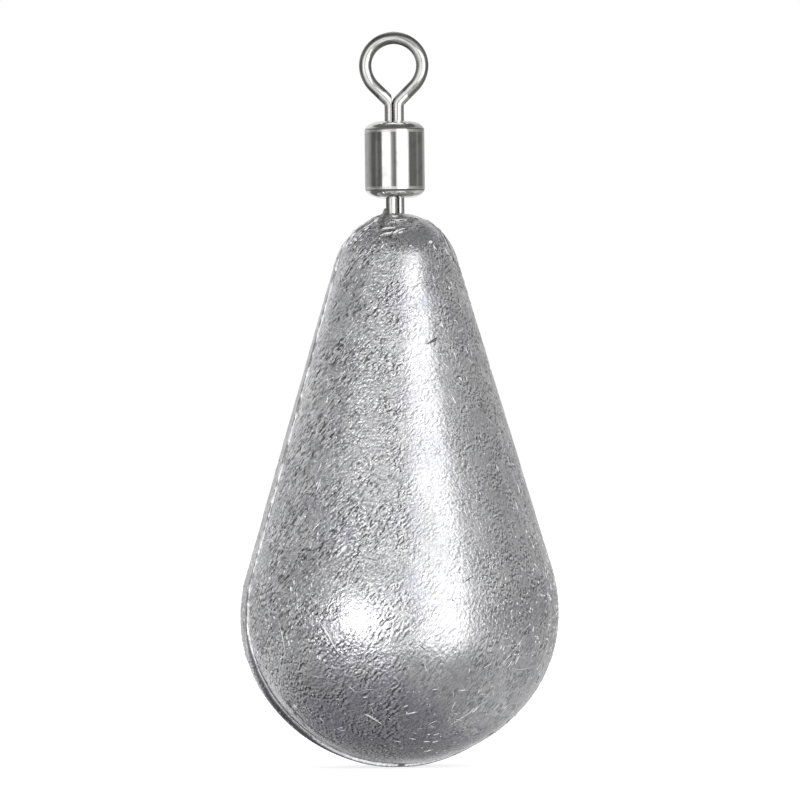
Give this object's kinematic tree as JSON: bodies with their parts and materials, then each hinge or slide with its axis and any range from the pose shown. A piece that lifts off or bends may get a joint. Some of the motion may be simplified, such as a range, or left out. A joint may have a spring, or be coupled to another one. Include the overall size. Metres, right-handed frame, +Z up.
{
  "type": "fishing sinker",
  "caption": "Pear-shaped lead fishing sinker cast round one wire eye of a barrel swivel, so the line eye turns freely above it.",
  "frame": {"origin": "centre of the line eye's ring, on the swivel's axis", "axes": "+Z up the line, along the swivel's axis and the sinker's length; the line eye lies in the XZ plane, and -Y is the side that the picture shows"},
  "size_m": [0.0194, 0.0192, 0.0447],
  "materials": {
    "cast_lead": "as-cast bright lead, grained and scratched",
    "eye_wire": "nickel-plated drawn wire",
    "barrel_plating": "polished nickel plating"
  },
  "bodies": {
    "line_eye": {"line_eye": "eye_wire"},
    "barrel": {"swivel_barrel": "barrel_plating"},
    "weight": {"lead_body": "cast_lead", "anchor_eye": "eye_wire"}
  },
  "joints": [
    {"name": "line_eye_spin", "type": "hinge", "parent": "line_eye", "child": "barrel", "pos_m": [0, 0, -0.00334], "axis": [0, 0, 1], "continuous": true},
    {"name": "weight_spin", "type": "hinge", "parent": "barrel", "child": "weight", "pos_m": [0, 0, -0.00804], "axis": [0, 0, 1], "continuous": true}
  ]
}
